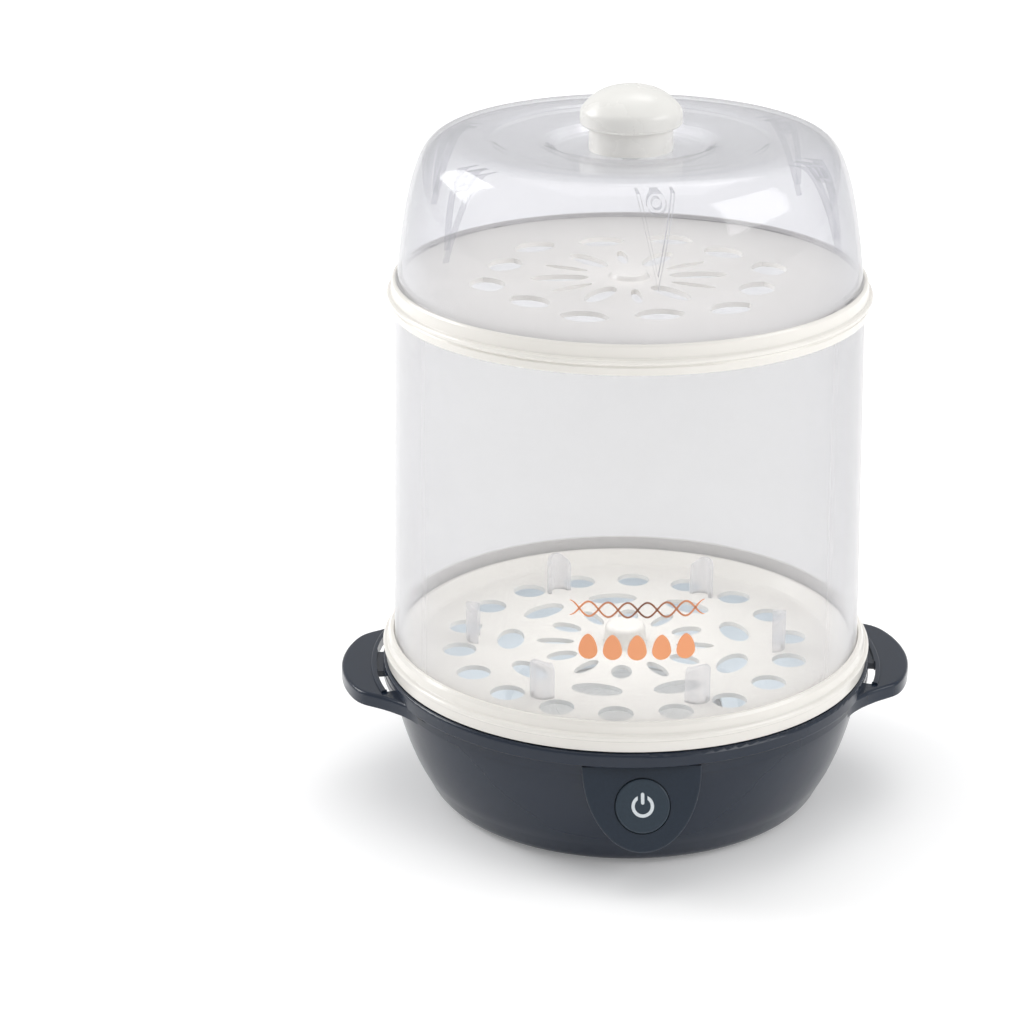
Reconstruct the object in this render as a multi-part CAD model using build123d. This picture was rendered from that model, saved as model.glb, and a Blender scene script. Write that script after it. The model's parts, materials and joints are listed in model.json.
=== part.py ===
from build123d import *
import os
from math import cos, hypot, radians, sin

# Two-level electric steam steriliser for baby bottles.
# Frame: origin at the centre of the footprint, on the table. +Z is up. The button faces -Y,
# the two handles point to -X and +X, and the mains cord would leave at +Y. Millimetres.

# ---- Driving dimensions -------------------------------------------------------------------
RIM_Z = 71.0            # height of the base's top rim, where the lower tray begins
RIM_R = 122.6           # outer radius of that rim
WALL = 2.4              # usual moulded wall

BOWL_BOTTOM_Z = 2.2     # underside of the bowl above the table
BOWL_TOP_R = 117.4
BOWL_FLAT_R = 95.2      # radius of the flat underside
BOWL_TOP_Z = RIM_Z - 14.0
BOWL_BEND = 1.386       # roundness of the bowl's side

HANDLE_REACH = 143.7    # tip of each handle from the axis
HANDLE_TOP_Z = RIM_Z - 5.0
SLOT_IN_R = RIM_R + 0.2
SLOT_OUT_R = RIM_R + 3.8

PANEL_HALF = 28.2       # half width of the U-shaped control panel
PANEL_DEPTH = 40.6      # height of the U
PANEL_Y = -118.4        # face of the panel at its top edge
PANEL_TILT = 22.0       # the face looks up at the user, so its lower end stands out from the bowl
PANEL_PLATE = 2.2       # thickness of the panel
POCKET_WALL = 2.2       # wall of the bowl's pocket behind the panel
BUTTON_R = 12.9
BUTTON_DROP = 18.6      # button centre below the panel's top edge
GLAND_END_Y = 133.3     # outer end of the cord gland, as far back as the panel's chin is forward

SEAT_Z = RIM_Z - 3.5    # ledge of the base that carries the lower tray
TRAY_FLOOR_Z = RIM_Z + 3.0
CHANNEL_Z = RIM_Z + 5.8     # groove of the lower tray that takes the cylinder
CYL_BOTTOM_R = 116.6
CYL_TOP_R = 113.2
CYL_TOP_Z = RIM_Z + 189.4
UPPER_FLOOR_Z = RIM_Z + 196.0
LID_R = 111.8
LID_CREST_Z = RIM_Z + 266.4
KNOB_FOOT_Z = RIM_Z + 259.0
KNOB_TOP_Z = RIM_Z + 289.5
KNOB_R = 24.35

PLATE_R = 56.0          # heating plate
PLATE_Z = 40.0          # its heated face
SPREADER_Z = 35.2       # underside of the aluminium heat spreader
ELEMENT_R = 34.0
FLOOR_Z = BOWL_BOTTOM_Z + 2.6   # inside floor of the bowl

# Hole patterns of the two trays, as angles from the front, positive towards +X
LOWER_OUTER_TURN = -6.9
LOWER_MIDDLE_TURN = -17.5
LOWER_INNER_TURN = -6.7
PEG_TURN = 23.8
UPPER_LEAF_TURN = 8.8
UPPER_PETAL_TURN = -28.0


# ---- Helpers ------------------------------------------------------------------------------
def lathe(points):
    """Turn a closed outline of (radius, height, corner rounding) points about the Z axis."""
    outline = make_face(Polyline(*[(r, z) for r, z, _ in points], close=True))
    for r, z, rounding in points:
        if rounding:
            corner = outline.vertices().sort_by_distance((r, z, 0))[:1]
            outline = fillet(corner, rounding)
    return revolve(Plane.XZ * outline, Axis.Z)


def disc(radius, low, high, x=0.0, y=0.0):
    """Upright cylinder between two heights."""
    return Pos(x, y, (low + high) / 2) * Cylinder(radius, high - low)


def block(size_x, size_y, low, high, x=0.0, y=0.0):
    """Upright box between two heights."""
    return Pos(x, y, (low + high) / 2) * Box(size_x, size_y, high - low)


def prism(plan, low, high):
    """Push a flat outline upwards between two heights."""
    return extrude(Pos(0, 0, low) * plan, high - low, dir=(0, 0, 1))


def around(count, radius, turn=0.0):
    """Places on a circle: local +X points outwards from the axis."""
    places = []
    for k in range(count):
        angle = turn + 360.0 * k / count - 90.0
        places.append(Rot(0, 0, angle) * Pos(radius, 0, 0))
    return places


def point_on(place):
    """x and y of a place."""
    return place.position.X, place.position.Y


def cut_all(solid, tools):
    """Subtract every tool from a solid."""
    for tool in tools:
        solid = solid - tool
    return solid


def lens(length, width):
    """Leaf with two pointed ends, long side along local Y."""
    half_l = length / 2
    half_w = width / 2
    right = ThreePointArc((0, -half_l), (half_w, 0), (0, half_l))
    left = ThreePointArc((0, half_l), (-half_w, 0), (0, -half_l))
    return make_face(right + left)


# ---- Base bowl ----------------------------------------------------------------------------
def bowl_side(inset):
    """Points of the bowl's side from its flat bottom to its straight collar."""
    top_r = BOWL_TOP_R - inset
    flat_r = BOWL_FLAT_R - inset
    low = BOWL_BOTTOM_Z + inset
    steps = 14
    points = []
    for k in range(steps + 1):
        t = 1.0 - (1.0 - k / steps) ** 2
        depth = 1.0 - t
        bulge = (1.0 - depth ** BOWL_BEND) ** (1.0 / BOWL_BEND)
        points.append((flat_r + (top_r - flat_r) * bulge, low + (BOWL_TOP_Z - low) * t))
    return points


def bowl_body(inset, collar_r, top_z):
    """Full bowl, from its flat bottom to the top of its collar."""
    side = bowl_side(inset)
    low = BOWL_BOTTOM_Z + inset
    curve = Spline(*side, tangents=[(1, 0.25), (0, 1)])
    rest = Polyline(side[-1], (collar_r, BOWL_TOP_Z + 0.9), (collar_r, top_z), (0, top_z), (0, low), side[0])
    return revolve(Plane.XZ * make_face(curve + rest), Axis.Z)


PANEL_PLANE = Plane(
    origin=(0, PANEL_Y, RIM_Z - 8.0),
    x_dir=(1, 0, 0),
    z_dir=(0, -cos(radians(PANEL_TILT)), sin(radians(PANEL_TILT))),
)


def panel_outline(grow):
    """U shape of the control panel: the lower half of an ellipse under a short straight top."""
    ellipse = Ellipse(PANEL_HALF + grow, PANEL_DEPTH + grow)
    lower = Pos(0, -40) * Rectangle(120, 80)
    straight = Pos(0, 4) * Rectangle(2 * (PANEL_HALF + grow), 8)
    return (ellipse & lower) + straight


def panel_prism(grow, back, front):
    """The U shape between two depths, square to the panel's face."""
    return PANEL_PLANE * extrude(Pos(0, 0, back) * panel_outline(grow), front - back)


FOOT_PLACES = around(4, 82.0, 45.0)
BOSS_PLACES = [(79.0, 29.0), (-79.0, 29.0), (-79.0, -29.0), (79.0, -29.0)]
BOSS_TOP_Z = 24.0
CLAMP_X = 11.0
CLAMP_Y = 84.0
GLAND_Z = 24.0
GLAND_PAD_Y = 113.0


def base_bowl():
    collar_top = RIM_Z - 7.8
    outside = bowl_body(0.0, 119.4, collar_top)
    pocket = panel_prism(-0.35, -40.0, -PANEL_PLATE) & block(200, 200, 0, collar_top, y=-110)
    pad = Pos(0, 102, GLAND_Z) * Rot(90, 0, 0) * Cylinder(11.5, 2 * (GLAND_PAD_Y - 102))
    outside = outside + pocket + pad
    inside = bowl_body(2.6, 116.8, collar_top + 1)
    pocket_hollow = panel_prism(-0.35 - POCKET_WALL, -39.0, 5.0)
    shell = outside - inside - pocket_hollow - panel_prism(0.25, -PANEL_PLATE, 8.0)
    shell = shell + (pad - inside)
    shell = shell - Pos(0, 108, GLAND_Z) * Rot(90, 0, 0) * Cylinder(6.0, 40)
    for x, y in BOSS_PLACES:
        shell = shell + disc(4.8, BOWL_BOTTOM_Z + 0.6, BOSS_TOP_Z, x, y)
        shell = shell - disc(3.8, BOWL_BOTTOM_Z - 1, 12.0, x, y)
        shell = shell - disc(1.8, BOWL_BOTTOM_Z, BOSS_TOP_Z + 1, x, y)
    for place in FOOT_PLACES:
        x, y = point_on(place)
        shell = shell - disc(8.2, BOWL_BOTTOM_Z - 1, BOWL_BOTTOM_Z + 1.0, x, y)
        shell = shell - disc(2.6, BOWL_BOTTOM_Z, FLOOR_Z + 1, x, y)
    for side in (-1, 1):
        shell = shell + disc(3.6, FLOOR_Z - 0.6, GLAND_Z, side * CLAMP_X, CLAMP_Y)
        shell = shell - disc(1.3, FLOOR_Z + 4, GLAND_Z + 1, side * CLAMP_X, CLAMP_Y)
    return shell


# ---- Base top shell -----------------------------------------------------------------------
BASIN_UNDER_Z = 38.8
CLAMP_RING_R = 66.0
PLATE_SCREWS = around(4, CLAMP_RING_R, 45.0)


def handle_outline(inset):
    """Plan of one handle: a rounded D that flares into the rim on both flanks."""
    half = [(105.2, 61.3), (117.5, 46.8), (125.5, 41.0), (132.5, 36.4), (138.6, 26.6), (142.4, 13.5)]
    moved = []
    for x, y in half:
        reach = hypot(x - 105.0, y)
        keep = (reach - inset) / reach
        moved.append((105.0 + (x - 105.0) * keep, y * keep))
    mirrored = [(x, -y) for x, y in reversed(moved)]
    outer = moved + [(HANDLE_REACH - inset, 0.0)] + mirrored
    return make_face(Spline(*outer) + Line(outer[-1], outer[0]))


def handle():
    """Flat ear with a rolled lip below its edge, a raised border along the slot, and the slot."""
    low = HANDLE_TOP_Z - 6.8
    solid = prism(handle_outline(0.0), low, HANDLE_TOP_Z)
    top_edge = solid.edges().filter_by(lambda e: e.center().Z > HANDLE_TOP_Z - 0.1 and e.center().X > 114)
    solid = fillet(top_edge, 1.6)
    solid = solid - prism(handle_outline(3.2), low - 1, low + 3.6)
    border = lathe([
        (SLOT_OUT_R - 0.5, low + 3.0, 0),
        (SLOT_OUT_R + 2.8, low + 3.0, 0),
        (SLOT_OUT_R + 2.4, HANDLE_TOP_Z + 1.2, 1.0),
        (SLOT_OUT_R - 0.5, HANDLE_TOP_Z + 1.2, 0),
    ])
    wedge = prism(Polygon((0, 0), (200, -62), (200, 62), align=None), low, low + 12)
    solid = solid + (border & wedge)
    core = disc(RIM_R - 1.2, low - 2, HANDLE_TOP_Z + 4)
    return solid - core


def handle_slots():
    """The two arc slots of one handle, either side of its middle rib."""
    ring = lathe([
        (SLOT_IN_R, RIM_Z - 20, 0),
        (SLOT_OUT_R, RIM_Z - 20, 0),
        (SLOT_OUT_R, RIM_Z + 1, 0),
        (SLOT_IN_R, RIM_Z + 1, 0),
    ])
    slots = []
    for side in (-1, 1):
        near = (200 * cos(radians(5.5)), side * 200 * sin(radians(5.5)))
        far = (200 * cos(radians(17.0)), side * 200 * sin(radians(17.0)))
        wedge = prism(Polygon((0, 0), near, far, align=None), RIM_Z - 21, RIM_Z + 3)
        slots.append(ring & wedge)
    return slots


def base_top_shell():
    rim_low = RIM_Z - 7.0
    shell = lathe([
        (RIM_R, rim_low, 0.5),
        (RIM_R, RIM_Z - 0.1, 1.7),
        (118.6, RIM_Z - 0.1, 0.6),
        (118.4, SEAT_Z, 0),
        (111.5, SEAT_Z, 1.0),
        (110.4, RIM_Z - 9.0, 6.0),
        (107.0, RIM_Z - 15.5, 8.0),
        (98.0, RIM_Z - 21.0, 12.0),
        (80.0, RIM_Z - 23.8, 0),
        (61.0, RIM_Z - 24.8, 1.5),
        (58.0, RIM_Z - 30.0, 1.0),
        (50.0, RIM_Z - 30.1, 0.8),
        (50.0, BASIN_UNDER_Z, 0),
        (59.6, BASIN_UNDER_Z, 0),
        (62.4, BASIN_UNDER_Z + 5.2, 0),
        (80.0, BASIN_UNDER_Z + 6.2, 0),
        (99.0, BASIN_UNDER_Z + 9.1, 10.0),
        (109.0, BASIN_UNDER_Z + 15.7, 8.0),
        (112.6, RIM_Z - 9.0, 5.0),
        (113.2, RIM_Z - 5.7, 0),
        (114.6, RIM_Z - 5.7, 0),
        (114.6, RIM_Z - 13.0, 0),
        (116.4, RIM_Z - 13.0, 0),
        (116.4, RIM_Z - 7.8, 0),
        (118.4, RIM_Z - 7.8, 0),
        (118.4, rim_low, 0),
    ])
    skirt = disc(118.5, RIM_Z - 14, RIM_Z - 7.8) - disc(114.6, RIM_Z - 15, RIM_Z - 7)
    shell = shell - (skirt & block(61, 40, RIM_Z - 14, RIM_Z - 7.8, y=-115))
    ear = handle()
    shell = shell + ear + Rot(0, 0, 180) * ear
    slots = handle_slots()
    shell = cut_all(shell, slots + [Rot(0, 0, 180) * slot for slot in slots])
    for x, y in BOSS_PLACES:
        shell = shell + disc(4.4, BOSS_TOP_Z, BASIN_UNDER_Z + 8.2, x, y)
        shell = shell - disc(1.55, BOSS_TOP_Z - 1, BOSS_TOP_Z + 16, x, y)
    for place in PLATE_SCREWS:
        x, y = point_on(place)
        shell = shell + disc(4.2, PLATE_Z - 3.6, BASIN_UNDER_Z + 6.0, x, y)
        shell = shell - disc(1.55, PLATE_Z - 4.6, PLATE_Z + 3.2, x, y)
    return shell


# ---- Control panel and button -------------------------------------------------------------
POST_PLACES = [(-18.0, -17.0), (18.0, -17.0), (-9.6, -31.9), (9.6, -31.9)]
BOARD_FRONT = -16.6
SWITCH_FRONT = -12.0


def on_panel(shape):
    """Move a shape from the panel's own axes (x across, y up, z outwards) into place."""
    return PANEL_PLANE * shape


def control_panel():
    """Plate with a rounded edge, a locating rim inside the pocket, and four posts for the board."""
    plate = extrude(Pos(0, 0, -PANEL_PLATE) * panel_outline(0.0), PANEL_PLATE)
    plate = fillet(plate.edges().filter_by_position(Axis.Z, -0.01, 0.01), 0.9)
    rim = panel_outline(-0.6 - POCKET_WALL) - panel_outline(-2.0 - POCKET_WALL)
    plate = plate + extrude(Pos(0, 0, -PANEL_PLATE - 3.0) * rim, 3.5)
    plate = plate - Pos(0, -BUTTON_DROP, -1) * Cylinder(BUTTON_R + 0.35, 6)
    for x, y in POST_PLACES:
        post = Pos(x, y, (BOARD_FRONT - 1.0) / 2) * Cylinder(1.9, -1.0 - BOARD_FRONT)
        pilot = Pos(x, y, BOARD_FRONT + 4) * Cylinder(0.9, 10)
        plate = plate + post - pilot
    trim = block(200, 60, 0, RIM_Z - 8.0, y=-118)
    return on_panel(plate) & trim


def power_button():
    """Round cap with a stop flange behind the panel and a stem that works the switch."""
    cap = Pos(0, -BUTTON_DROP, -1.5) * Cylinder(BUTTON_R, 5.0)
    front = cap.edges().sort_by(Axis.Z)[-1:]
    cap = fillet(front, 0.9)
    flange = Pos(0, -BUTTON_DROP, -3.3) * Cylinder(BUTTON_R + 1.2, 1.4)
    stem = Pos(0, -BUTTON_DROP, -7.0) * Cylinder(3.0, 6.0)
    cap = cap + flange + stem
    return on_panel(cap - icon_shape(0.6, 1.2))


def icon_shape(low, high):
    """Open ring with a bar in its gap, the general sign for on and off."""
    ring = Circle(5.3) - Circle(3.75)
    gap = Pos(0, 5) * Rectangle(4.6, 8)
    ring = ring - gap
    bar = Pos(0, 3.6) * SlotOverall(5.6, 1.6, rotation=90)
    return Pos(0, -BUTTON_DROP, low) * extrude(ring + bar, high - low)


def power_icon():
    """Light inlay, flush with the face of the button."""
    return on_panel(icon_shape(0.6, 1.04))


def switch_plunger():
    return on_panel(Pos(0, -BUTTON_DROP, -11.5) * Cylinder(1.7, 3.0))


def switch_housing():
    body = Pos(0, -BUTTON_DROP, (SWITCH_FRONT + BOARD_FRONT) / 2) * Box(12, 12, SWITCH_FRONT - BOARD_FRONT)
    well = Pos(0, -BUTTON_DROP, SWITCH_FRONT - 1.9) * Cylinder(1.8, 4.0)
    return on_panel(body - well)


def control_board():
    outline = panel_outline(-1.4 - POCKET_WALL) & (Pos(0, -24.0) * Rectangle(40, 20.5))
    board = extrude(Pos(0, 0, BOARD_FRONT - 1.6) * outline, 1.6)
    for x, y in POST_PLACES:
        board = board - Pos(x, y, BOARD_FRONT - 0.8) * Cylinder(1.3, 4)
    return on_panel(board)


def board_screws():
    screws = []
    for x, y in POST_PLACES:
        head = Pos(x, y, BOARD_FRONT - 2.4) * Cylinder(1.9, 1.6)
        shank = Pos(x, y, BOARD_FRONT + 1.2) * Cylinder(0.88, 5.6)
        screws.append(on_panel(head + shank))
    return screws


def power_relay():
    return on_panel(Pos(-9.0, -24.0, BOARD_FRONT - 8.1) * Box(13, 9, 13))


def dropper_capacitor():
    return on_panel(Pos(9.0, -24.0, BOARD_FRONT - 6.1) * Box(11, 9, 9))


def indicator_led():
    lens_part = Pos(0, -31.5, BOARD_FRONT + 1.4) * Cylinder(1.5, 2.8)
    return on_panel(lens_part)


# ---- Heater -------------------------------------------------------------------------------
def heating_plate():
    """Pressed steel plate: a raised heated face and a lower clamping flange."""
    return lathe([
        (0.0, PLATE_Z, 0),
        (45.5, PLATE_Z, 1.4),
        (49.0, PLATE_Z - 2.4, 0.8),
        (PLATE_R, PLATE_Z - 2.4, 0),
        (PLATE_R, PLATE_Z - 3.6, 0),
        (48.4, PLATE_Z - 3.6, 0.6),
        (44.9, PLATE_Z - 1.2, 0.6),
        (0.0, PLATE_Z - 1.2, 0),
    ])


def plate_gasket():
    """Silicone ring between the plate's flange and the basin."""
    return lathe([
        (51.0, PLATE_Z - 2.4, 0),
        (55.6, PLATE_Z - 2.4, 0),
        (55.6, BASIN_UNDER_Z, 0),
        (51.0, BASIN_UNDER_Z, 0),
    ])


STRAP_X = 20.0


def heat_spreader():
    """Aluminium disc under the plate, with two studs for the thermostat's strap."""
    spreader = disc(42.0, SPREADER_Z, PLATE_Z - 1.2)
    for side in (-1, 1):
        spreader = spreader + disc(2.6, SPREADER_Z - 3.2, SPREADER_Z + 0.5, side * STRAP_X, 0)
        spreader = spreader - disc(1.3, SPREADER_Z - 4, SPREADER_Z + 1.5, side * STRAP_X, 0)
    return spreader


def heating_element():
    """Tubular horseshoe heater with a pin at each end."""
    tube_r = 3.6
    z = SPREADER_Z - tube_r
    arc = CenterArc((0, 0, z), ELEMENT_R, 110, 320)
    section = Plane(origin=arc @ 0, z_dir=arc % 0) * Circle(tube_r)
    solid = sweep(section, path=arc)
    for where, way in ((0, -1), (1, 1)):
        end = arc @ where
        direction = (arc % where) * way
        pin = Plane(origin=end, z_dir=direction) * Pos(0, 0, 4.0) * Cylinder(1.5, 12.0)
        solid = solid + pin
    return solid


def plate_clamp_ring():
    """Ring that clamps the plate's flange up against the basin."""
    ring = lathe([
        (47.5, PLATE_Z - 5.4, 0),
        (71.5, PLATE_Z - 5.4, 0),
        (71.5, PLATE_Z - 3.6, 0),
        (47.5, PLATE_Z - 3.6, 0),
    ])
    for place in PLATE_SCREWS:
        x, y = point_on(place)
        ring = ring - disc(1.8, PLATE_Z - 6, PLATE_Z - 3, x, y)
    return ring


def plate_screws():
    screws = []
    for place in PLATE_SCREWS:
        x, y = point_on(place)
        head = disc(3.2, PLATE_Z - 7.8, PLATE_Z - 5.4, x, y)
        shank = disc(1.5, PLATE_Z - 5.6, PLATE_Z + 2.4, x, y)
        slot = block(5.2, 0.9, PLATE_Z - 8, PLATE_Z - 6.9, x, y)
        screws.append(head + shank - slot)
    return screws


def thermostat():
    """Snap-disc thermostat with two blade terminals."""
    can = disc(8.4, SPREADER_Z - 2.4, SPREADER_Z)
    body = disc(7.6, SPREADER_Z - 9.0, SPREADER_Z - 2.4)
    solid = can + body
    for side in (-1, 1):
        solid = solid + block(0.8, 6.3, SPREADER_Z - 17.0, SPREADER_Z - 8.5, side * 4.2, 0)
    return solid


def thermostat_strap():
    """Sheet strap that presses the thermostat's can against the spreader."""
    low = SPREADER_Z - 4.4
    strap = block(49, 9, low, low + 1.2)
    strap = strap + disc(10.4, low, low + 1.2)
    strap = strap - disc(7.8, low - 1, low + 3)
    for side in (-1, 1):
        strap = strap - disc(1.8, low - 1, low + 3, side * STRAP_X, 0)
    return strap


def strap_screws():
    low = SPREADER_Z - 4.4
    screws = []
    for side in (-1, 1):
        head = disc(2.7, low - 2.0, low, side * STRAP_X, 0)
        shank = disc(1.25, low - 0.2, SPREADER_Z + 1.0, side * STRAP_X, 0)
        screws.append(head + shank)
    return screws


def thermal_fuse():
    z = SPREADER_Z - 2.1
    body = Pos(0, 21, z) * Rot(0, 90, 0) * Cylinder(2.0, 11.0)
    leads = Pos(0, 21, z) * Rot(0, 90, 0) * Cylinder(0.5, 27.0)
    return body + leads


def fuse_clip():
    """Spring clip spot-welded to the spreader around the fuse."""
    z = SPREADER_Z
    hoop = Pos(0, 21, z - 2.1) * Rot(0, 90, 0) * (Cylinder(2.9, 5.0) - Cylinder(2.1, 6.0))
    hoop = hoop - block(20, 20, z - 0.7, z + 5, 0, 21)
    tab = block(5.0, 6.5, z - 0.8, z, 0, 26.2)
    return hoop + tab


# ---- Mains inlet, feet and screws ---------------------------------------------------------
def along_y(radius, start, end, x, z):
    """Cylinder along Y between two y values."""
    return Pos(x, (start + end) / 2, z) * Rot(90, 0, 0) * Cylinder(radius, end - start)


def cord_gland():
    """Bush through the back wall, bored for a 7 mm cord, with grooves that let its end bend."""
    bush = along_y(5.9, 93.0, GLAND_END_Y, 0, GLAND_Z)
    rim = bush.faces().sort_by(Axis.Y)[-1].edges()
    bush = fillet(rim, 0.8)
    for y in (119.0, 123.0, 127.0):
        bush = bush - (along_y(7.0, y, y + 1.8, 0, GLAND_Z) - along_y(4.9, y, y + 1.8, 0, GLAND_Z))
    flange = along_y(9.6, GLAND_PAD_Y, GLAND_PAD_Y + 2.4, 0, GLAND_Z)
    return bush + flange - along_y(3.6, 90.0, GLAND_END_Y + 5, 0, GLAND_Z)


def gland_nut():
    nut = extrude(RegularPolygon(9.0, 6), 4.0)
    nut = Pos(0, 99.0, GLAND_Z) * Rot(90, 0, 0) * nut
    return nut - along_y(5.95, 90.0, 105.0, 0, GLAND_Z)


def cord_clamp():
    bar = block(2 * CLAMP_X + 8.0, 8.0, GLAND_Z, GLAND_Z + 4.6, 0, CLAMP_Y)
    bar = bar - along_y(3.5, CLAMP_Y - 10, CLAMP_Y + 10, 0, GLAND_Z)
    for side in (-1, 1):
        bar = bar - disc(1.7, GLAND_Z - 1, GLAND_Z + 6, side * CLAMP_X, CLAMP_Y)
    return bar


def clamp_screws():
    screws = []
    for side in (-1, 1):
        x = side * CLAMP_X
        head = disc(2.8, GLAND_Z + 4.6, GLAND_Z + 6.6, x, CLAMP_Y)
        shank = disc(1.25, GLAND_Z - 9.0, GLAND_Z + 4.8, x, CLAMP_Y)
        screws.append(head + shank)
    return screws


def terminal_block():
    """Three-way screw terminal block on the bowl's floor."""
    body = block(30, 12, FLOOR_Z, FLOOR_Z + 11, 0, 62)
    for k in (-1, 0, 1):
        body = body - along_y(1.9, 50, 74, 9.5 * k, FLOOR_Z + 4.5)
        body = body - disc(2.2, FLOOR_Z + 8.0, FLOOR_Z + 12, 9.5 * k, 62)
    return body


def terminal_screws():
    return [disc(2.1, FLOOR_Z + 8.0, FLOOR_Z + 10.2, 9.5 * k, 62) for k in (-1, 0, 1)]


def rubber_foot(place):
    x, y = point_on(place)
    pad = disc(8.0, 0.0, BOWL_BOTTOM_Z + 1.0, x, y)
    pad = fillet(pad.edges().sort_by(Axis.Z)[:1], 0.8)
    stem = disc(2.5, BOWL_BOTTOM_Z + 0.8, FLOOR_Z + 1.6, x, y)
    barb = disc(3.5, FLOOR_Z, FLOOR_Z + 1.6, x, y)
    return pad + stem + barb


def shell_screws():
    screws = []
    for x, y in BOSS_PLACES:
        head = disc(3.4, 9.6, 12.0, x, y)
        shank = disc(1.5, 11.8, BOSS_TOP_Z + 13.0, x, y)
        cross = block(3.6, 0.9, 9.4, 10.8, x, y) + block(0.9, 3.6, 9.4, 10.8, x, y)
        screws.append(head + shank - cross)
    return screws


# ---- Lower tray and its pegs --------------------------------------------------------------
def lower_tray():
    tray = lathe([
        (0.0, TRAY_FLOOR_Z + 11.0, 0),
        (10.0, TRAY_FLOOR_Z + 11.0, 2.5),
        (11.0, TRAY_FLOOR_Z, 2.0),
        (105.5, TRAY_FLOOR_Z, 4.0),
        (112.0, RIM_Z + 9.2, 0.6),
        (114.0, RIM_Z + 9.2, 0.4),
        (114.0, CHANNEL_Z, 0),
        (117.0, CHANNEL_Z, 0),
        (117.0, RIM_Z + 14.6, 0.4),
        (118.5, RIM_Z + 14.6, 0.6),
        (119.6, RIM_Z + 13.0, 0.6),
        (120.3, RIM_Z + 9.4, 0.6),
        (121.8, RIM_Z + 8.8, 0.5),
        (122.4, RIM_Z + 8.0, 0.4),
        (122.2, RIM_Z + 6.4, 0.4),
        (121.4, RIM_Z + 5.8, 0.2),
        (121.0, RIM_Z + 0.5, 0.3),
        (117.8, RIM_Z + 0.5, 0),
        (117.6, SEAT_Z, 0.4),
        (113.2, SEAT_Z, 0.4),
        (112.8, TRAY_FLOOR_Z - WALL, 2.0),
        (8.6, TRAY_FLOOR_Z - WALL, 1.0),
        (8.0, TRAY_FLOOR_Z + 8.8, 1.5),
        (0.0, TRAY_FLOOR_Z + 8.8, 0),
    ])
    low = TRAY_FLOOR_Z - WALL - 1
    holes = []
    for place in around(18, 84.0, LOWER_OUTER_TURN):
        holes.append(place * Circle(8.5))
    for place in around(9, 58.2, LOWER_MIDDLE_TURN):
        holes.append(place * Ellipse(6.9, 12.8))
    for k, place in enumerate(around(12, 35.4, LOWER_INNER_TURN)):
        holes.append(place * (Ellipse(8.2, 5.2) if k % 2 == 0 else Ellipse(9.6, 3.6)))
    return cut_all(tray, [prism(hole, low, low + WALL + 2) for hole in holes])


PEG_RING_R = 74.2


def bottle_peg(place):
    """Upright half-round blade with a rounded top, that keeps an upturned bottle apart."""
    height = 20.0
    blade = Circle(6.6) - Circle(4.6) - Pos(-5.0, 0) * Rectangle(10, 20)
    solid = extrude(blade, height)
    crown = Pos(0, 0, height - 6.6) * Rot(0, 90, 0) * Cylinder(6.6, 30)
    below = Pos(0, 0, (height - 6.6) / 2) * Box(30, 30, height - 6.6)
    solid = solid & (crown + below)
    return Pos(0, 0, TRAY_FLOOR_Z) * place * solid


# ---- Cylinder, upper tray and lid ---------------------------------------------------------
def cylinder_wall():
    return lathe([
        (CYL_BOTTOM_R, CHANNEL_Z, 0.4),
        (CYL_TOP_R, CYL_TOP_Z, 0.4),
        (CYL_TOP_R - 2.1, CYL_TOP_Z, 0.4),
        (CYL_BOTTOM_R - 2.1, CHANNEL_Z, 0.4),
    ])


def upper_tray():
    tray = lathe([
        (0.0, UPPER_FLOOR_Z + 2.4, 0),
        (8.5, UPPER_FLOOR_Z + 2.4, 1.2),
        (10.0, UPPER_FLOOR_Z, 1.0),
        (112.6, UPPER_FLOOR_Z, 0.3),
        (112.8, RIM_Z + 197.6, 0.3),
        (113.9, RIM_Z + 197.6, 0.6),
        (114.6, RIM_Z + 196.6, 0.5),
        (115.1, RIM_Z + 191.4, 0.6),
        (116.5, RIM_Z + 190.9, 0.4),
        (117.0, RIM_Z + 190.3, 0.4),
        (117.0, RIM_Z + 189.0, 0.5),
        (115.5, RIM_Z + 188.2, 0.3),
        (116.1, RIM_Z + 187.2, 0.5),
        (115.9, RIM_Z + 183.6, 0.5),
        (113.8, RIM_Z + 183.6, 0.4),
        (113.6, CYL_TOP_Z, 0),
        (110.7, CYL_TOP_Z, 0),
        (110.5, RIM_Z + 185.2, 0.4),
        (108.5, RIM_Z + 185.2, 0.4),
        (107.5, UPPER_FLOOR_Z - WALL, 2.0),
        (0.0, UPPER_FLOOR_Z - WALL, 0),
    ])
    low = UPPER_FLOOR_Z - WALL - 1
    holes = []
    for k, place in enumerate(around(12, 63.5, UPPER_LEAF_TURN)):
        outwards = Pos(6.0, 0) if k % 2 else Pos(0, 0)
        holes.append(place * outwards * lens(24.0, 17.0))
    for k, place in enumerate(around(12, 33.5, UPPER_PETAL_TURN)):
        holes.append(place * (Ellipse(14.0, 5.6) if k % 2 == 0 else Ellipse(11.5, 2.6)))
    return cut_all(tray, [prism(hole, low, low + WALL + 2) for hole in holes])


def lid_side(inset):
    """Points of the lid's side, from above its rim to its shoulder."""
    height = 64.0
    foot = RIM_Z + 200.0
    bend = 2.43
    top_r = 97.6 - inset
    steps = 12
    points = []
    for k in range(steps + 1):
        t = 0.985 * k / steps
        bulge = (1.0 - t ** bend) ** (1.0 / bend)
        r = top_r + (LID_R - 97.6) * bulge - 6.6 * t
        points.append((r, foot + (height - 0.6 * inset) * t))
    return points


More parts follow.
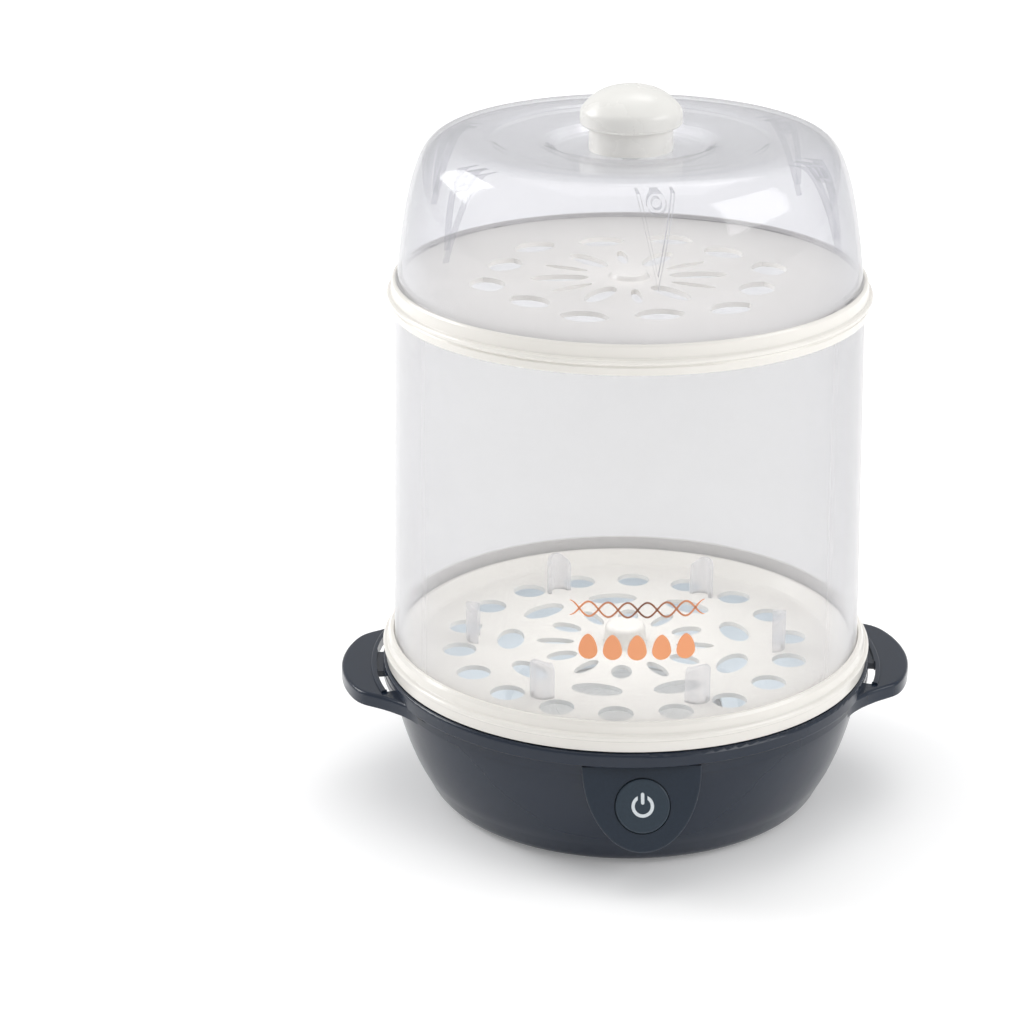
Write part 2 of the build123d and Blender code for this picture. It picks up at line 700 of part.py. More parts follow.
def lid_top(inset):
    """Points of the lid's top from its crest to the knob's seat."""
    return [
        (80.0, LID_CREST_Z - inset),
        (67.0, LID_CREST_Z - 0.5 - inset),
        (65.0, LID_CREST_Z - 1.4 - inset),
        (44.0, LID_CREST_Z - 2.3 - inset),
        (41.0, LID_CREST_Z - 3.2 - inset),
        (36.0, LID_CREST_Z - 6.2 - inset),
        (28.0, KNOB_FOOT_Z - inset),
    ]


def lid_skin(inset, foot_z):
    """Solid of revolution inside the lid's outer or inner skin."""
    side = lid_side(inset)
    top = lid_top(inset)
    curve = Spline(*side, top[0], tangents=[(0, 1), (-1, 0.02)])
    rest = Polyline(*top, (0, KNOB_FOOT_Z - inset), (0, foot_z), (side[0][0], foot_z), side[0])
    return revolve(Plane.XZ * make_face(curve + rest), Axis.Z)


def lid_gussets(inner, inner_deep):
    """Six V-shaped ribs inside the shoulder, each two thin fins that meet in a point below."""
    high = RIM_Z + 261.0
    low = RIM_Z + 220.0
    half = 8.6
    fin = 1.3
    big = Polygon((-half, high), (half, high), (0, low), align=None)
    small = Polygon((-half + fin, high + 1), (half - fin, high + 1), (0, low + 6.0), align=None)
    boss = Pos(0, high - 4.0) * (Circle(4.4) - Circle(2.3))
    frame = (big - small) + (boss & big)
    bar = extrude(Plane.YZ.offset(82) * frame, 50, dir=(1, 0, 0))
    band = inner - inner_deep
    ribs = []
    for k in range(6):
        ribs.append(Rot(0, 0, -90.0 + 2.8 + 60.0 * k) * bar & band)
    return ribs


def lid():
    foot = UPPER_FLOOR_Z
    outer = lid_skin(0.0, foot)
    inner = lid_skin(2.0, foot - 1)
    deep = lid_skin(5.4, foot - 2)
    skirt = lathe([
        (LID_R - 1.0, foot, 0),
        (LID_R + 0.5, foot, 0.3),
        (LID_R + 0.5, foot + 1.8, 0.5),
        (LID_R - 1.0, foot + 2.6, 0),
    ])
    shell = outer - inner + skirt
    solid_band = lid_skin(1.5, foot)
    for rib in lid_gussets(solid_band, deep):
        shell = shell + rib
    return shell - disc(2.4, KNOB_FOOT_Z - 5, KNOB_FOOT_Z + 1)


def lid_knob():
    """Mushroom knob: a domed cap with a rolled edge on a plain neck, moulded around a pilot."""
    rim_z = KNOB_TOP_Z - 15.0
    dome = Spline((0, KNOB_TOP_Z), (9.6, KNOB_TOP_Z - 1.2), (17.6, KNOB_TOP_Z - 4.8),
                  (22.6, KNOB_TOP_Z - 9.6), (KNOB_R, rim_z), tangents=[(1, 0), (0, -1)])
    under = Polyline((KNOB_R, rim_z), (KNOB_R, rim_z - 2.6), (KNOB_R - 1.2, rim_z - 3.9),
                     (19.9, rim_z - 3.9), (20.1, KNOB_FOOT_Z), (0, KNOB_FOOT_Z), (0, KNOB_TOP_Z))
    knob = revolve(Plane.XZ * make_face(dome + under), Axis.Z)
    return knob - disc(1.55, KNOB_FOOT_Z - 1, KNOB_FOOT_Z + 11)


def knob_washer():
    return lathe([
        (2.5, KNOB_FOOT_Z - 3.2, 0),
        (7.0, KNOB_FOOT_Z - 3.2, 0.3),
        (7.0, KNOB_FOOT_Z - 2.0, 0),
        (2.5, KNOB_FOOT_Z - 2.0, 0),
    ])


def knob_screw():
    seat = KNOB_FOOT_Z - 3.2
    head = fillet(disc(4.4, seat - 2.4, seat).edges().sort_by(Axis.Z)[:1], 1.0)
    shank = disc(1.5, seat - 0.2, KNOB_FOOT_Z + 9.6)
    cross = block(4.0, 1.0, seat - 3, seat - 1.2) + block(1.0, 4.0, seat - 3, seat - 1.2)
    return head + shank - cross


# ---- Write every piece --------------------------------------------------------------------
def group(solids):
    """Separate solids that share one node."""
    return Compound(children=solids)


def all_parts():
    parts = {
        "base_bowl": base_bowl(),
        "base_top_shell": base_top_shell(),
        "control_panel": control_panel(),
        "power_button": power_button(),
        "power_icon": Compound(power_icon().solids()),
        "switch_plunger": switch_plunger(),
        "switch_housing": switch_housing(),
        "control_board": control_board(),
        "board_screws": group(board_screws()),
        "power_relay": power_relay(),
        "dropper_capacitor": dropper_capacitor(),
        "indicator_led": indicator_led(),
        "heating_plate": heating_plate(),
        "plate_gasket": plate_gasket(),
        "heat_spreader": heat_spreader(),
        "heating_element": heating_element(),
        "plate_clamp_ring": plate_clamp_ring(),
        "plate_screws": group(plate_screws()),
        "thermostat": thermostat(),
        "thermostat_strap": thermostat_strap(),
        "strap_screws": group(strap_screws()),
        "thermal_fuse": thermal_fuse(),
        "fuse_clip": fuse_clip(),
        "cord_gland": cord_gland(),
        "gland_nut": gland_nut(),
        "cord_clamp": cord_clamp(),
        "clamp_screws": group(clamp_screws()),
        "terminal_block": terminal_block(),
        "terminal_screws": group(terminal_screws()),
        "shell_screws": group(shell_screws()),
        "lower_tray": lower_tray(),
        "cylinder_wall": cylinder_wall(),
        "upper_tray": upper_tray(),
        "lid": lid(),
        "lid_knob": lid_knob(),
        "knob_washer": knob_washer(),
        "knob_screw": knob_screw(),
    }
    for number, place in enumerate(FOOT_PLACES, start=1):
        parts[f"rubber_foot_{number}"] = rubber_foot(place)
    for number, place in enumerate(around(6, PEG_RING_R, PEG_TURN), start=1):
        parts[f"bottle_peg_{number}"] = bottle_peg(place)
    return parts


def main():
    os.makedirs("parts", exist_ok=True)
    for name, shape in all_parts().items():
        shape.label = name
        export_step(shape, f"parts/{name}.step")
        box = shape.bounding_box()
        print(f"{name:20s} x {box.min.X:8.2f} {box.max.X:8.2f}  y {box.min.Y:8.2f} {box.max.Y:8.2f}"
              f"  z {box.min.Z:8.2f} {box.max.Z:8.2f}")


if __name__ == "__main__":
    main()
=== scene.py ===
"""Looks of a two-level steam steriliser for baby bottles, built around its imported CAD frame."""

import json
import math

import bmesh
import bpy
from mathutils import Matrix, Vector


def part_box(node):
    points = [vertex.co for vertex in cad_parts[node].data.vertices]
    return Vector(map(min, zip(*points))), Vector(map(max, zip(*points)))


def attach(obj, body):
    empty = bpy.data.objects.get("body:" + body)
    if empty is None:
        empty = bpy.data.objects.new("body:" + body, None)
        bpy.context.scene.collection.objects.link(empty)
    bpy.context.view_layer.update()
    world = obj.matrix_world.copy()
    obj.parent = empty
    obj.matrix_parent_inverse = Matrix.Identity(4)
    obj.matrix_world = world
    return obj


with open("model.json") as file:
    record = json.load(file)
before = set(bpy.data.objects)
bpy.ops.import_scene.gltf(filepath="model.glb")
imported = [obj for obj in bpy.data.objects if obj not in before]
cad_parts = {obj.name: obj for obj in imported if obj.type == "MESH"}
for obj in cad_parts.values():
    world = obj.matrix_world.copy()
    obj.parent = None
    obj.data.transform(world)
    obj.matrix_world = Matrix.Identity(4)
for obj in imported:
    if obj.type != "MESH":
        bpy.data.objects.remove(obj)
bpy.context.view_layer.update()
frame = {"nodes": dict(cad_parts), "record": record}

MM = 0.001


# ---- Node helpers -------------------------------------------------------------------------
class Shader:
    """One procedural material, with short calls for the nodes it is made of."""

    def __init__(self, name):
        self.material = bpy.data.materials.new(name)
        self.material.use_nodes = True
        self.tree = self.material.node_tree
        self.tree.nodes.clear()
        self.place = self.node("ShaderNodeTexCoord").outputs["Object"]

    def node(self, kind, **settings):
        node = self.tree.nodes.new(kind)
        for name, value in settings.items():
            setattr(node, name, value)
        return node

    def link(self, source, target):
        self.tree.links.new(source, target)

    def finish(self, shader):
        output = self.node("ShaderNodeOutputMaterial")
        self.link(shader, output.inputs["Surface"])
        return self.material

    def stretched(self, scale):
        """Object position, stretched along the axes."""
        mapping = self.node("ShaderNodeMapping")
        mapping.inputs["Scale"].default_value = scale
        self.link(self.place, mapping.inputs["Vector"])
        return mapping.outputs["Vector"]

    def noise(self, scale, detail=2.0, vector=None):
        """Smooth noise from 0 to 1, with scale features per metre."""
        noise = self.node("ShaderNodeTexNoise")
        noise.inputs["Scale"].default_value = scale
        noise.inputs["Detail"].default_value = detail
        self.link(vector or self.place, noise.inputs["Vector"])
        return noise.outputs["Fac"]

    def spread(self, value, low, high, start=0.3, end=0.7):
        """Stretch a value from start..end to low..high."""
        mapped = self.node("ShaderNodeMapRange")
        mapped.inputs["From Min"].default_value = start
        mapped.inputs["From Max"].default_value = end
        mapped.inputs["To Min"].default_value = low
        mapped.inputs["To Max"].default_value = high
        self.link(value, mapped.inputs["Value"])
        return mapped.outputs["Result"]

    def math(self, operation, first, second):
        """Result of one calculation with two sockets or numbers."""
        node = self.node("ShaderNodeMath", operation=operation)
        for value, socket in ((first, node.inputs[0]), (second, node.inputs[1])):
            if isinstance(value, (int, float)):
                socket.default_value = value
            else:
                self.link(value, socket)
        return node.outputs["Value"]

    def between(self, factor, first, second):
        """Colour between two colours."""
        mix = self.node("ShaderNodeMix", data_type="RGBA")
        mix.inputs["A"].default_value = (*first, 1.0)
        mix.inputs["B"].default_value = (*second, 1.0)
        self.link(factor, mix.inputs["Factor"])
        return mix.outputs["Result"]

    def shades(self, pattern, color, dark, bright):
        """A colour that follows a noise pattern between a darker and a brighter shade of it."""
        factor = self.spread(pattern, 0.0, 1.0)
        return self.between(factor, scaled(color, dark), scaled(color, bright))

    def bump(self, height, depth, normal=None):
        """Normal from a height of 0 to 1 that stands for a depth in metres."""
        bump = self.node("ShaderNodeBump")
        bump.inputs["Distance"].default_value = depth
        self.link(height, bump.inputs["Height"])
        if normal is not None:
            self.link(normal, bump.inputs["Normal"])
        return bump.outputs["Normal"]

    def principled(self, **values):
        """Principled shader. Numbers and colours go on its sockets, node outputs are linked."""
        shader = self.node("ShaderNodeBsdfPrincipled")
        for name, value in values.items():
            socket = shader.inputs[name.replace("_", " ")]
            if isinstance(value, bpy.types.NodeSocket):
                self.link(value, socket)
            elif isinstance(value, tuple):
                socket.default_value = (*value, 1.0)
            else:
                socket.default_value = value
        return shader.outputs["BSDF"]

    def mix(self, factor, first, second):
        mix = self.node("ShaderNodeMixShader")
        if isinstance(factor, (int, float)):
            mix.inputs[0].default_value = factor
        else:
            self.link(factor, mix.inputs[0])
        self.link(first, mix.inputs[1])
        self.link(second, mix.inputs[2])
        return mix.outputs["Shader"]


def linear(red, green, blue):
    """Display colour of 0 to 255 as scene-linear numbers."""
    def one(value):
        value = value / 255.0
        return value / 12.92 if value <= 0.04045 else ((value + 0.055) / 1.055) ** 2.4
    return one(red), one(green), one(blue)


def scaled(color, factor):
    return tuple(min(1.0, channel * factor) for channel in color)


# ---- Materials ----------------------------------------------------------------------------
# Noise features per metre of moulded plastic, from its faint clouds of colour to its grain.
CLOUD_SCALE = 28.0
GLOSS_SCALE = 55.0
RIPPLE_SCALE = 120.0
GRAIN_SCALE = 1800.0

BASIN_EDGE = 112.3 * MM     # radius where the rim's ledge ends and the basin begins
RIM_ROUGH = 0.2
BASIN_ROUGH = 0.4
BASE_SHEEN = 0.42
HEAD_ON_GLOSS = 0.036       # share of light that clear plastic mirrors when seen straight on
EDGE_MILK = 0.5             # how much denser a wall looks where it turns away
BASE_NAVY = linear(27, 37, 52)
PANEL_NAVY = linear(21, 35, 50)
BASIN_PALE = linear(212, 222, 230)
IVORY = linear(231, 228, 222)


def moulded_skin(s, rough, ripple_depth, grain_depth):
    """Roughness and normal of moulded plastic: uneven gloss, slow ripples and fine grain."""
    polish = s.math("ADD", s.spread(s.noise(GLOSS_SCALE, 4.0), -0.04, 0.04), rough)
    ripples = s.bump(s.noise(RIPPLE_SCALE, 1.0), ripple_depth * MM)
    return polish, s.bump(s.noise(GRAIN_SCALE), grain_depth * MM, ripples)


def moulded(name, color, rough, vary=0.06, grain_depth=0.02, ripple_depth=0.05, sheen=0.5):
    """Injection-moulded plastic of one colour with faint clouds in it."""
    s = Shader(name)
    body = s.shades(s.noise(CLOUD_SCALE, 3.0), color, 1.0 - vary, 1.0 + vary)
    polish, normal = moulded_skin(s, rough, ripple_depth, grain_depth)
    return s.finish(s.principled(Base_Color=body, Roughness=polish, Normal=normal,
                                 Specular_IOR_Level=sheen))


def base_shell(name, outside, basin):
    """Glossy dark rim and ears around a pale satin water basin."""
    s = Shader(name)
    axes = s.node("ShaderNodeSeparateXYZ")
    s.link(s.place, axes.inputs["Vector"])
    squares = [s.math("POWER", axes.outputs[axis], 2.0) for axis in "XY"]
    across = s.math("SQRT", s.math("ADD", *squares), 0.0)
    within = s.spread(across, 1.0, 0.0, BASIN_EDGE, BASIN_EDGE + 0.2 * MM)
    clouds = s.noise(CLOUD_SCALE, 3.0)
    body = s.node("ShaderNodeMix", data_type="RGBA")
    s.link(within, body.inputs["Factor"])
    s.link(s.shades(clouds, outside, 0.95, 1.05), body.inputs["A"])
    s.link(s.shades(clouds, basin, 0.95, 1.05), body.inputs["B"])
    rough = s.spread(within, RIM_ROUGH, BASIN_ROUGH, 0.0, 1.0)
    polish, normal = moulded_skin(s, rough, 0.015, 0.003)
    return s.finish(s.principled(Base_Color=body.outputs["Result"], Roughness=polish, Normal=normal,
                                 Specular_IOR_Level=BASE_SHEEN))


def textured(name, color, rough, grain=900.0, depth=0.06):
    """Spark-eroded matte plastic, like a fascia or a button cap."""
    s = Shader(name)
    pits = s.noise(grain, 5.0)
    body = s.shades(pits, color, 0.9, 1.1)
    polish = s.math("ADD", s.spread(s.noise(grain / 2, 2.0), -0.05, 0.05), rough)
    return s.finish(s.principled(Base_Color=body, Roughness=polish,
                                 Normal=s.bump(pits, depth * MM)))


def see_through(name, tint, milk_color, milk, rough, grain_depth):
    """Thin moulded wall: part milk, part clear, with gloss that grows towards its edges."""
    s = Shader(name)
    clear = s.node("ShaderNodeBsdfTransparent")
    clear.inputs["Color"].default_value = (*tint, 1.0)
    clouds = s.noise(16.0, 3.0)
    ripples = s.bump(s.noise(90.0, 2.0), grain_depth * MM)
    fine = s.bump(s.noise(2400.0, 2.0), 0.1 * grain_depth * MM, ripples)
    body = s.shades(clouds, milk_color, 0.98, 1.02)
    lit = s.principled(Base_Color=body, Roughness=0.6, Normal=fine, Specular_IOR_Level=0.0)
    glow = s.node("ShaderNodeBsdfTranslucent")
    s.link(body, glow.inputs["Color"])
    s.link(fine, glow.inputs["Normal"])
    scatter = s.mix(0.5, lit, glow.outputs["BSDF"])
    facing = s.node("ShaderNodeLayerWeight")
    facing.inputs["Blend"].default_value = 0.5
    turned = facing.outputs["Facing"]
    thicker = s.math("MULTIPLY", s.math("POWER", turned, 3.0), EDGE_MILK)
    cloudy = s.math("MULTIPLY", s.spread(clouds, 0.95, 1.05), milk)
    wall = s.mix(s.math("ADD", cloudy, thicker), clear.outputs["BSDF"], scatter)
    gloss = s.node("ShaderNodeBsdfGlossy")
    polish = s.math("ADD", s.spread(s.noise(60.0, 3.0), -0.02, 0.02), rough)
    s.link(polish, gloss.inputs["Roughness"])
    s.link(fine, gloss.inputs["Normal"])
    grazing = s.math("MULTIPLY", s.math("POWER", turned, 5.0), 1.0 - HEAD_ON_GLOSS)
    return s.finish(s.mix(s.math("ADD", grazing, HEAD_ON_GLOSS), wall, gloss.outputs["BSDF"]))


def metal(name, color, rough, grain, stretch=(1.0, 1.0, 1.0), depth=0.03):
    """Bare or plated metal with fine tooling marks."""
    s = Shader(name)
    marks = s.noise(grain, 3.0, s.stretched(stretch))
    stain = s.noise(40.0, 4.0)
    body = s.shades(stain, color, 0.86, 1.08)
    polish = s.math("ADD", s.spread(marks, -0.07, 0.07), rough)
    return s.finish(s.principled(Base_Color=body, Metallic=1.0, Roughness=polish,
                                 Normal=s.bump(marks, depth * MM)))


def spun_metal(name, color, rough):
    """Plate with circular brush marks about the Z axis."""
    s = Shader(name)
    flat = s.stretched((1.0, 1.0, 0.0))
    length = s.node("ShaderNodeVectorMath", operation="LENGTH")
    s.link(flat, length.inputs[0])
    rings = s.node("ShaderNodeCombineXYZ")
    s.link(length.outputs["Value"], rings.inputs["X"])
    marks = s.noise(2600.0, 3.0, rings.outputs["Vector"])
    stain = s.noise(22.0, 4.0)
    body = s.shades(stain, color, 0.88, 1.06)
    polish = s.math("ADD", s.spread(marks, -0.08, 0.08), rough)
    return s.finish(s.principled(Base_Color=body, Metallic=1.0, Roughness=polish,
                                 Normal=s.bump(marks, 0.02 * MM)))


def circuit_board(name):
    """Green board with lighter copper tracks under the lacquer."""
    s = Shader(name)
    tracks = s.node("ShaderNodeTexBrick")
    tracks.inputs["Scale"].default_value = 260.0
    tracks.inputs["Mortar Size"].default_value = 0.09
    tracks.inputs["Color1"].default_value = (0.01, 0.07, 0.03, 1.0)
    tracks.inputs["Color2"].default_value = (0.015, 0.085, 0.035, 1.0)
    tracks.inputs["Mortar"].default_value = (0.04, 0.17, 0.06, 1.0)
    s.link(s.place, tracks.inputs["Vector"])
    polish = s.spread(s.noise(300.0), 0.3, 0.45)
    return s.finish(s.principled(Base_Color=tracks.outputs["Color"], Roughness=polish,
                                 Normal=s.bump(tracks.outputs["Fac"], 0.03 * MM)))


def heated_tube(name):
    """Heater sheath, browned and blued by use."""
    s = Shader(name)
    heat = s.noise(70.0, 3.0)
    body = s.between(s.spread(heat, 0.0, 1.0), (0.2, 0.15, 0.11), (0.3, 0.29, 0.33))
    polish = s.spread(s.noise(240.0, 3.0), 0.32, 0.5)
    return s.finish(s.principled(Base_Color=body, Metallic=1.0, Roughness=polish,
                                 Normal=s.bump(s.noise(1500.0), 0.04 * MM)))


def rubber(name, color, rough):
    """Dusty elastomer."""
    s = Shader(name)
    dust = s.noise(350.0, 5.0)
    body = s.shades(dust, color, 0.85, 1.2)
    polish = s.math("ADD", s.spread(dust, -0.05, 0.05), rough)
    return s.finish(s.principled(Base_Color=body, Roughness=polish, Normal=s.bump(dust, 0.05 * MM)))


FINISHES = {
    "base_gloss": moulded("base_gloss", BASE_NAVY, RIM_ROUGH, vary=0.05,
                          ripple_depth=0.015, grain_depth=0.003, sheen=BASE_SHEEN),
    "base_shell": base_shell("base_shell", BASE_NAVY, BASIN_PALE),
    "panel_matte": textured("panel_matte", PANEL_NAVY, 0.46),
    "button_satin": textured("button_satin", linear(36, 50, 62), 0.42, depth=0.04),
    "icon_light": moulded("icon_light", linear(214, 220, 224), 0.35),
    "tray_white": moulded("tray_white", IVORY, 0.2, vary=0.015,
                          ripple_depth=0.01, grain_depth=0.002, sheen=0.6),
    "peg_frosted": see_through("peg_frosted", linear(252, 252, 253), linear(242, 242, 243),
                               milk=0.3, rough=0.22, grain_depth=0.02),
    "wall_frosted": see_through("wall_frosted", linear(245, 245, 245), linear(218, 218, 222),
                                milk=0.13, rough=0.3, grain_depth=0.02),
    "lid_clear": see_through("lid_clear", linear(249, 249, 250), linear(214, 215, 220),
                             milk=0.09, rough=0.09, grain_depth=0.01),
    "knob_white": moulded("knob_white", linear(229, 228, 224), 0.26, vary=0.012,
                          ripple_depth=0.015, grain_depth=0.003),
    "plate_steel": spun_metal("plate_steel", (0.62, 0.61, 0.59), 0.3),
    "fastener_steel": metal("fastener_steel", (0.66, 0.67, 0.68), 0.28, 900.0),
    "spreader_aluminium": metal("spreader_aluminium", (0.72, 0.73, 0.74), 0.45, 400.0),
    "element_steel": heated_tube("element_steel"),
    "galvanised_steel": metal("galvanised_steel", (0.58, 0.59, 0.6), 0.42, 160.0, (1.0, 1.0, 3.0)),
    "seal_silicone": rubber("seal_silicone", linear(206, 206, 202), 0.45),
    "foot_rubber": rubber("foot_rubber", linear(46, 47, 50), 0.75),
    "board_green": circuit_board("board_green"),
    "component_dark": textured("component_dark", linear(42, 42, 45), 0.5),
    "capacitor_yellow": moulded("capacitor_yellow", linear(206, 160, 70), 0.3),
    "thermostat_body": textured("thermostat_body", linear(72, 52, 40), 0.5),
    "gland_black": textured("gland_black", linear(36, 37, 40), 0.45, depth=0.03),
    "terminal_white": moulded("terminal_white", linear(226, 224, 214), 0.4),
    "terminal_brass": metal("terminal_brass", (0.72, 0.53, 0.24), 0.3, 800.0),
    "led_lens": moulded("led_lens", linear(215, 228, 232), 0.1),
}

# Nodes whose finish isn't the one of their material slot.
SPECIAL_FINISH = {"base_top_shell": "base_shell"}


def dress_cad_nodes():
    """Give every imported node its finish."""
    for part in frame["record"]["subparts"]:
        node = frame["nodes"][part["node"]]
        finish = FINISHES[SPECIAL_FINISH.get(part["node"], part["material_slot"])]
        if not node.material_slots:
            node.data.materials.append(finish)
        for slot in node.material_slots:
            slot.material = finish


def in_scene(thing):
    bpy.context.scene.collection.objects.link(thing)
    return thing


def in_scene_from(mesh, name, finish):
    """New object in the scene from an edited mesh, all of one material."""
    data = bpy.data.meshes.new(name)
    mesh.to_mesh(data)
    mesh.free()
    data.materials.append(finish)
    return in_scene(bpy.data.objects.new(name, data))


# ---- Printed motif on the cylinder --------------------------------------------------------
WALL_LOW, WALL_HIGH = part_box("cylinder_wall")
WALL_FOOT_R = WALL_HIGH.x
# How much narrower the wall gets per metre of height.
WALL_TAPER = 3.4 * MM / (WALL_HIGH.z - WALL_LOW.z)
PRINT_TURN = math.radians(-1.4)
PRINT_LIFT = 0.03 * MM
PRINT_THICK = 0.09 * MM
INK_HALF_WIDTH = 30.0 * MM  # half the width over which the ink's colour runs

WAVE_Z = WALL_LOW.z + 64.5 * MM
WAVE_HALF_LENGTH = 31.5 * MM
WAVE_SWING = 3.6 * MM
WAVE_PITCH = 18.0 * MM
WAVE_STROKE = 0.9 * MM
WAVE_STEPS = 120

DROP_FOOT_Z = WALL_LOW.z + 39.5 * MM
DROP_R = 4.5 * MM
DROP_TALL = 12.6 * MM
DROP_PITCH = 11.4 * MM
DROP_STEPS = 26


def on_wall(across, height):
    """Point just outside the cylinder wall: across metres along its front, at that height."""
    radius = WALL_FOOT_R - WALL_TAPER * (height - WALL_LOW.z) + PRINT_LIFT
    angle = PRINT_TURN + across / radius
    return Vector((radius * math.sin(angle), -radius * math.cos(angle), height))


def ink(name, middle, ends):
    """Satin print whose colour runs from its middle to its ends."""
    s = Shader(name)
    axes = s.node("ShaderNodeSeparateXYZ")
    s.link(s.place, axes.inputs["Vector"])
    away = s.math("ABSOLUTE", axes.outputs["X"], 0.0)
    shade = s.between(s.spread(away, 0.0, 1.0, 0.0, INK_HALF_WIDTH), middle, ends)
    speckle = s.noise(3000.0)
    polish = s.spread(speckle, 0.32, 0.46)
    return s.finish(s.principled(Base_Color=shade, Roughness=polish,
                                 Normal=s.bump(speckle, 0.01 * MM)))


def printed(name, strips, finish):
    """Thin printed piece made of strips, each a list of (left, right) points on the wall."""
    mesh = bmesh.new()
    for strip in strips:
        rows = [(mesh.verts.new(on_wall(*a)), mesh.verts.new(on_wall(*b))) for a, b in strip]
        for (a, b), (c, d) in zip(rows, rows[1:]):
            corners = [a, b, d, c]
            if a.co == b.co:
                corners = [a, d, c]
            if c.co == d.co:
                corners = [a, b, d]
            mesh.faces.new(corners)
    bmesh.ops.recalc_face_normals(mesh, faces=mesh.faces)
    piece = in_scene_from(mesh, name, finish)
    solid = piece.modifiers.new("thickness", "SOLIDIFY")
    solid.thickness = PRINT_THICK
    solid.offset = 1.0
    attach(piece, "cylinder")


def wave_strip(phase):
    """Ribbon along a sine wave, thinner at its ends."""
    per_metre = 2.0 * math.pi / WAVE_PITCH
    strip = []
    for k in range(WAVE_STEPS + 1):
        across = WAVE_HALF_LENGTH * (2.0 * k / WAVE_STEPS - 1.0)
        turn = across * per_metre + phase
        slope = WAVE_SWING * per_metre * math.cos(turn)
        thin_end = min(1.0, 12.0 * min(k, WAVE_STEPS - k) / WAVE_STEPS + 0.3)
        half = 0.5 * WAVE_STROKE * math.sqrt(1.0 + slope * slope) * thin_end
        centre = WAVE_Z + WAVE_SWING * math.sin(turn)
        strip.append(((across, centre - half), (across, centre + half)))
    return strip


def drop_half_width(height):
    """Half the width of a water drop: a round belly below a pointed tip."""
    if height < DROP_R:
        return math.sqrt(DROP_R ** 2 - (height - DROP_R) ** 2)
    tip = (height - DROP_R) / (DROP_TALL - DROP_R)
    return DROP_R * (1.0 - tip) ** 0.62 * (1.0 + 0.45 * tip)


def drop_strip(middle):
    strip = []
    for k in range(DROP_STEPS + 1):
        height = DROP_TALL * (0.5 - 0.5 * math.cos(math.pi * k / DROP_STEPS))
        half = 0.0 if k in (0, DROP_STEPS) else drop_half_width(height)
        level = DROP_FOOT_Z + height
        strip.append(((middle - half, level), (middle + half, level)))
    return strip


def print_motif():
    """Two crossing steam waves over a row of five drops."""
    copper = linear(232, 150, 104)
    brown = linear(120, 78, 58)
    orange = ink("ink_drops", linear(238, 160, 112), linear(238, 158, 110))
    printed("print_steam_waves", [wave_strip(0.0)], ink("ink_waves", brown, copper))
    mirrored = ink("ink_waves_mirror", brown, copper)
    printed("print_steam_waves_mirror", [wave_strip(math.pi)], mirrored)
    printed("print_drops", [drop_strip(k * DROP_PITCH) for k in range(-2, 3)], orange)


# ---- Stage, lights and camera -------------------------------------------------------------
FLOOR_R = 12.0
FLOOR_DROP = 0.2 * MM       # keeps the floor just below the feet
AIM = Vector((0.0, 0.0, 0.2))

# Name, azimuth (0 in front, 90 to the right), elevation, distance, width, height and radiance.
SOFTBOXES = (
    ("softbox_left", -112.0, 28.0, 1.7, 0.85, 0.8, 6.0),
    ("softbox_right", 66.0, 28.0, 1.9, 1.3, 0.9, 3.0),
    ("softbox_back", 150.0, 62.0, 2.0, 0.9, 0.7, 2.0),
    ("softbox_top", 180.0, 86.0, 2.3, 2.2, 2.2, 0.95),
)
# Name, height, radius, radiance and whether glossy pieces mirror it.
FILL_LIGHTS = (
    ("fill_basin", 0.0708, 0.104, 0.66, True),
    ("fill_lower_chamber", 0.125, 0.108, 0.52, False),
    ("fill_upper_chamber", 0.29, 0.104, 0.29, False),
)
# Name, height, radius and power.
HIDDEN_BULBS = (
    ("bulb_lower_chamber", 0.16, 0.05, 0.2),
    ("bulb_upper_chamber", 0.305, 0.03, 0.03),
)


def pale_floor():
    """Wide pale floor that fades into the pale surroundings."""
    s = Shader("floor")
    clouds = s.spread(s.noise(3.0, 3.0), 0.0, 1.0)
    body = s.between(clouds, (0.93, 0.93, 0.935), (0.95, 0.95, 0.95))
    polish = s.spread(s.noise(30.0, 3.0), 0.75, 0.9)
    reach = s.node("ShaderNodeVectorMath", operation="LENGTH")
    s.link(s.place, reach.inputs[0])
    glow = s.spread(reach.outputs["Value"], 0.16, 0.5, 0.3, 2.2)
    shader = s.principled(Base_Color=body, Roughness=polish, Specular_IOR_Level=0.2,
                          Emission_Color=(1.0, 1.0, 1.0), Emission_Strength=glow)
    mesh = bmesh.new()
    bmesh.ops.create_circle(mesh, cap_ends=True, radius=FLOOR_R, segments=96)
    floor = in_scene_from(mesh, "floor", s.finish(shader))
    floor.location.z = -FLOOR_DROP


def softbox(name, azimuth, elevation, distance, width, height, radiance):
    """Area light aimed at the middle of the object."""
    light = bpy.data.lights.new(name, "AREA")
    light.shape = "RECTANGLE"
    light.size = width
    light.size_y = height
    light.energy = radiance * math.pi * width * height
    a = math.radians(azimuth)
    e = math.radians(elevation)
    away = Vector((math.sin(a) * math.cos(e), -math.cos(a) * math.cos(e), math.sin(e)))
    lamp = in_scene(bpy.data.objects.new(name, light))
    lamp.location = AIM + distance * away
    lamp.rotation_euler = away.to_track_quat("Z", "Y").to_euler()


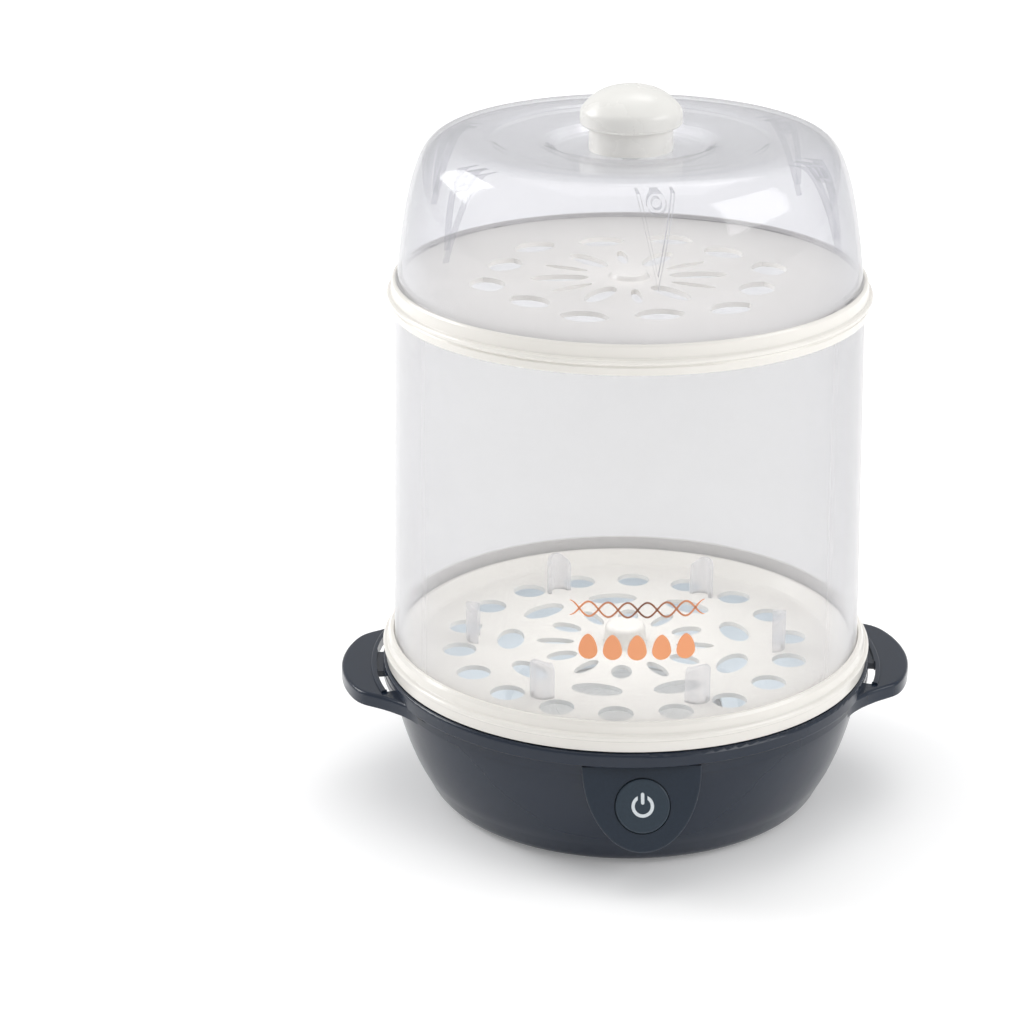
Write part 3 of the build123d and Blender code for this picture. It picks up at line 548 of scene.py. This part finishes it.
def inside_lamp(name, light, height, mirrored):
    """Hang a light on the object's axis, where the camera doesn't see it."""
    lamp = in_scene(bpy.data.objects.new(name, light))
    lamp.location.z = height
    lamp.visible_camera = False
    lamp.visible_glossy = mirrored


def fill_light(name, height, radius, radiance, mirrored):
    """Round light inside a chamber that shines down."""
    light = bpy.data.lights.new(name, "AREA")
    light.shape = "DISK"
    light.size = 2.0 * radius
    light.energy = radiance * math.pi ** 2 * radius ** 2
    inside_lamp(name, light, height, mirrored)


def hidden_bulb(name, height, radius, power):
    """Soft bulb inside a chamber."""
    light = bpy.data.lights.new(name, "POINT")
    light.shadow_soft_size = radius
    light.energy = power
    inside_lamp(name, light, height, False)


def studio():
    """White surroundings, the lights, and plain colours in the picture."""
    world = bpy.data.worlds.new("studio")
    world.use_nodes = True
    background = world.node_tree.nodes["Background"]
    background.inputs["Color"].default_value = (1.0, 1.0, 1.0, 1.0)
    background.inputs["Strength"].default_value = 0.6
    bpy.context.scene.world = world
    for settings in SOFTBOXES:
        softbox(*settings)
    for settings in FILL_LIGHTS:
        fill_light(*settings)
    for settings in HIDDEN_BULBS:
        hidden_bulb(*settings)
    view = bpy.context.scene.view_settings
    view.view_transform = "Standard"
    view.look = "None"
    bpy.context.scene.cycles.transparent_max_bounces = 32


CAMERA_PLACE = Vector((-0.0943, -1.2882, 0.64335))
CAMERA_PITCH = math.radians(21.10)      # looks down by this angle
CAMERA_HEADING = math.radians(-1.656)   # turned from +Y towards -X when positive
CAMERA_ROLL = math.radians(-0.227)
CAMERA_LENS = 97.68                     # millimetres, on a sensor 36 mm wide


def camera():
    data = bpy.data.cameras.new("camera")
    data.sensor_width = 36.0
    data.lens = CAMERA_LENS
    eye = in_scene(bpy.data.objects.new("camera", data))
    turn = Matrix.Rotation(CAMERA_HEADING, 4, "Z")
    tilt = Matrix.Rotation(math.pi / 2 - CAMERA_PITCH, 4, "X")
    roll = Matrix.Rotation(CAMERA_ROLL, 4, "Z")
    eye.matrix_world = Matrix.Translation(CAMERA_PLACE) @ turn @ tilt @ roll
    bpy.context.scene.camera = eye


dress_cad_nodes()
print_motif()
pale_floor()
studio()
camera()
